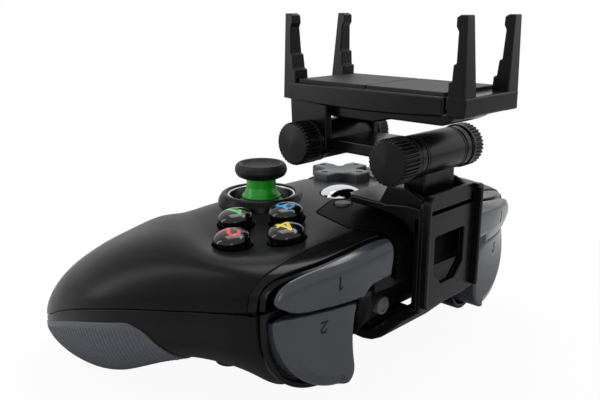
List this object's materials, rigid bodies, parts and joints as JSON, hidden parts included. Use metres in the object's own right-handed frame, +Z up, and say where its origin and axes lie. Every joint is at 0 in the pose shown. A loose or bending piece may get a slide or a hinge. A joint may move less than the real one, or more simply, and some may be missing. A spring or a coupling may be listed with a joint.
{
  "type": "game pad with a phone clip",
  "caption": "Two-handed game pad with sticks, a direction cross, face buttons, bumpers and triggers, and a clamp-on clip whose sprung cradle holds a phone above it.",
  "frame": {"origin": "middle of the plan, on the surface that the grips stand on", "axes": "+X to the player's right, +Y forward, away from the player, +Z up"},
  "size_m": [0.1526, 0.1174, 0.1058],
  "materials": {
    "shell_plastic": "satin moulded",
    "gloss_panel": "polished",
    "grip_rubber": "fine ridged",
    "slate_plastic": "satin moulded",
    "steel": "drawn",
    "plated_ring": "satin plated",
    "inner_plastic": "moulded",
    "green_stem": "moulded in colour",
    "stick_rubber": "moulded with a fine texture",
    "button_gloss": "polished",
    "plated_dome": "bright plated",
    "small_button_plastic": "moulded",
    "membrane_rubber": "moulded silicone",
    "board_laminate": "lacquered",
    "battery_wrap": "foil wrapped",
    "clip_plastic": "satin moulded",
    "cover_plastic": "satin moulded",
    "claw_rubber": "moulded"
  },
  "bodies": {
    "pad": {"top_shell": "shell_plastic", "bottom_shell": "shell_plastic", "front_bridge": "gloss_panel", "right_grip_pad": "grip_rubber", "left_grip_pad": "grip_rubber", "right_trigger_frame": "gloss_panel", "left_trigger_frame": "gloss_panel", "shell_screws": "steel", "trigger_pins": "steel", "trigger_springs": "steel", "stick_rings": "plated_ring", "right_stick_housing": "inner_plastic", "left_stick_housing": "inner_plastic", "button_membrane": "membrane_rubber", "main_board": "board_laminate", "battery_pack": "battery_wrap", "usb_socket": "steel", "clamp_frame": "clip_plastic", "upper_claw_pad": "claw_rubber", "lower_pivot_bolt": "steel", "clamp_springs": "steel"},
    "right_bumper": {"right_bumper": "slate_plastic"},
    "left_bumper": {"left_bumper": "slate_plastic"},
    "right_trigger": {"right_trigger": "slate_plastic"},
    "left_trigger": {"left_trigger": "slate_plastic"},
    "right_yoke": {"right_stick_yoke": "inner_plastic"},
    "left_yoke": {"left_stick_yoke": "inner_plastic"},
    "right_rocker": {"right_stick_rocker": "steel"},
    "left_rocker": {"left_stick_rocker": "steel"},
    "right_stick": {"right_stick_stem": "green_stem", "right_stick_cap": "stick_rubber"},
    "left_stick": {"left_stick_stem": "green_stem", "left_stick_cap": "stick_rubber"},
    "near_button": {"near_face_button": "button_gloss"},
    "right_button": {"right_face_button": "button_gloss"},
    "left_button": {"left_face_button": "button_gloss"},
    "far_button": {"far_face_button": "button_gloss"},
    "direction_gimbal": {"direction_pad_pin": "steel"},
    "direction_cross": {"direction_pad": "slate_plastic"},
    "home": {"home_button": "plated_dome"},
    "menu": {"menu_button": "small_button_plastic"},
    "view": {"view_button": "small_button_plastic"},
    "pairing": {"pairing_button": "small_button_plastic"},
    "right_rear": {"right_rear_button": "button_gloss"},
    "left_rear": {"left_rear_button": "button_gloss"},
    "clamp": {"clamp_slider": "clip_plastic", "lower_claw_pad": "claw_rubber"},
    "link": {"link_arm": "clip_plastic", "upper_pivot_bolt": "steel"},
    "cradle": {"cradle_tray": "clip_plastic", "cradle_cover": "cover_plastic", "jaw_spring": "steel"},
    "jaw": {"front_jaw": "clip_plastic", "jaw_rods": "steel"},
    "lower_right_knob": {"lower_right_knob": "clip_plastic"},
    "lower_left_knob": {"lower_left_knob": "clip_plastic"},
    "upper_right_knob": {"upper_right_knob": "clip_plastic"},
    "upper_left_knob": {"upper_left_knob": "clip_plastic"}
  },
  "joints": [
    {"name": "right_bumper_press", "type": "hinge", "parent": "pad", "child": "right_bumper", "pos_m": [0.019, 0.03967, 0.04131], "axis": [0, 0, -1], "range_deg": [0, 1.8], "stiffness_Nm_per_rad": 0.3, "springref_deg": -5.73},
    {"name": "right_trigger_pull", "type": "hinge", "parent": "pad", "child": "right_trigger", "pos_m": [0.044, 0.03147, 0.02822], "axis": [-1, 0, 0], "range_deg": [0, 12], "stiffness_Nm_per_rad": 0.06, "springref_deg": -34.38},
    {"name": "left_bumper_press", "type": "hinge", "parent": "pad", "child": "left_bumper", "pos_m": [-0.019, 0.03967, 0.04131], "axis": [0, 0, 1], "range_deg": [0, 1.8], "stiffness_Nm_per_rad": 0.3, "springref_deg": -5.73},
    {"name": "left_trigger_pull", "type": "hinge", "parent": "pad", "child": "left_trigger", "pos_m": [-0.044, 0.03147, 0.02822], "axis": [-1, 0, 0], "range_deg": [0, 12], "stiffness_Nm_per_rad": 0.06, "springref_deg": -34.38},
    {"name": "right_stick_sideways", "type": "hinge", "parent": "pad", "child": "right_yoke", "pos_m": [0.0182, -0.00883, 0.04031], "axis": [0, 1, 0], "range_deg": [-17, 17], "stiffness_Nm_per_rad": 0.02},
    {"name": "right_stick_forward", "type": "hinge", "parent": "right_yoke", "child": "right_rocker", "pos_m": [0.0182, -0.00883, 0.04031], "axis": [1, 0, 0], "range_deg": [-17, 17], "stiffness_Nm_per_rad": 0.02},
    {"name": "right_stick_press", "type": "slide", "parent": "right_rocker", "child": "right_stick", "axis": [0, 0, -1], "range_m": [0, 0.0005], "stiffness_N_per_m": 400, "springref_m": -0.002},
    {"name": "left_stick_sideways", "type": "hinge", "parent": "pad", "child": "left_yoke", "pos_m": [-0.0378, 0.01127, 0.04031], "axis": [0, 1, 0], "range_deg": [-17, 17], "stiffness_Nm_per_rad": 0.02},
    {"name": "left_stick_forward", "type": "hinge", "parent": "left_yoke", "child": "left_rocker", "pos_m": [-0.0378, 0.01127, 0.04031], "axis": [1, 0, 0], "range_deg": [-17, 17], "stiffness_Nm_per_rad": 0.02},
    {"name": "left_stick_press", "type": "slide", "parent": "left_rocker", "child": "left_stick", "axis": [0, 0, -1], "range_m": [0, 0.0005], "stiffness_N_per_m": 400, "springref_m": -0.002},
    {"name": "near_button_press", "type": "slide", "parent": "pad", "child": "near_button", "axis": [-0.1478, 0, -0.989], "range_m": [0, 0.0014], "stiffness_N_per_m": 150, "springref_m": -0.003},
    {"name": "right_button_press", "type": "slide", "parent": "pad", "child": "right_button", "axis": [-0.1478, 0, -0.989], "range_m": [0, 0.0014], "stiffness_N_per_m": 150, "springref_m": -0.003},
    {"name": "left_button_press", "type": "slide", "parent": "pad", "child": "left_button", "axis": [-0.1478, 0, -0.989], "range_m": [0, 0.0014], "stiffness_N_per_m": 150, "springref_m": -0.003},
    {"name": "far_button_press", "type": "slide", "parent": "pad", "child": "far_button", "axis": [-0.1478, 0, -0.989], "range_m": [0, 0.0014], "stiffness_N_per_m": 150, "springref_m": -0.003},
    {"name": "direction_forward", "type": "hinge", "parent": "pad", "child": "direction_gimbal", "pos_m": [-0.0213, -0.01003, 0.04322], "axis": [1, 0, 0], "range_deg": [-3.5, 3.5], "stiffness_Nm_per_rad": 0.01},
    {"name": "direction_sideways", "type": "hinge", "parent": "direction_gimbal", "child": "direction_cross", "pos_m": [-0.0213, -0.01003, 0.04322], "axis": [0, 1, 0], "range_deg": [-3.5, 3.5], "stiffness_Nm_per_rad": 0.01},
    {"name": "home_press", "type": "slide", "parent": "pad", "child": "home", "axis": [0, 0, -1], "range_m": [0, 0.001], "stiffness_N_per_m": 150, "springref_m": -0.003},
    {"name": "menu_press", "type": "slide", "parent": "pad", "child": "menu", "axis": [0, 0, -1], "range_m": [0, 0.0008], "stiffness_N_per_m": 60, "springref_m": -0.004},
    {"name": "view_press", "type": "slide", "parent": "pad", "child": "view", "axis": [0, 0, -1], "range_m": [0, 0.0008], "stiffness_N_per_m": 60, "springref_m": -0.004},
    {"name": "pairing_press", "type": "slide", "parent": "pad", "child": "pairing", "axis": [0, -1, 0], "range_m": [0, 0.0006], "stiffness_N_per_m": 60, "springref_m": -0.004},
    {"name": "right_rear_press", "type": "slide", "parent": "pad", "child": "right_rear", "axis": [0, 0, 1], "range_m": [0, 0.001], "stiffness_N_per_m": 150, "springref_m": -0.003},
    {"name": "left_rear_press", "type": "slide", "parent": "pad", "child": "left_rear", "axis": [0, 0, 1], "range_m": [0, 0.001], "stiffness_N_per_m": 150, "springref_m": -0.003},
    {"name": "clamp_open", "type": "slide", "parent": "pad", "child": "clamp", "axis": [0, 0, -1], "range_m": [0, 0.008], "stiffness_N_per_m": 400, "springref_m": -0.01, "deforming": ["clamp_springs"]},
    {"name": "link_lift", "type": "hinge", "parent": "pad", "child": "link", "pos_m": [0, 0.04077, 0.06871], "axis": [-1, 0, 0], "range_deg": [0, 60]},
    {"name": "cradle_tilt", "type": "hinge", "parent": "link", "child": "cradle", "pos_m": [0, 0.00667, 0.06921], "axis": [1, 0, 0], "range_deg": [-5, 60]},
    {"name": "jaw_open", "type": "slide", "parent": "cradle", "child": "jaw", "axis": [0, 1, 0], "range_m": [0, 0.026], "stiffness_N_per_m": 150, "springref_m": -0.02, "deforming": ["jaw_spring"]},
    {"name": "lower_right_knob_turn", "type": "hinge", "parent": "pad", "child": "lower_right_knob", "pos_m": [0, 0.04077, 0.06871], "axis": [1, 0, 0], "continuous": true},
    {"name": "lower_left_knob_turn", "type": "hinge", "parent": "pad", "child": "lower_left_knob", "pos_m": [0, 0.04077, 0.06871], "axis": [1, 0, 0], "continuous": true},
    {"name": "upper_right_knob_turn", "type": "hinge", "parent": "link", "child": "upper_right_knob", "pos_m": [0, 0.00667, 0.06921], "axis": [1, 0, 0], "continuous": true},
    {"name": "upper_left_knob_turn", "type": "hinge", "parent": "link", "child": "upper_left_knob", "pos_m": [0, 0.00667, 0.06921], "axis": [1, 0, 0], "continuous": true}
  ]
}
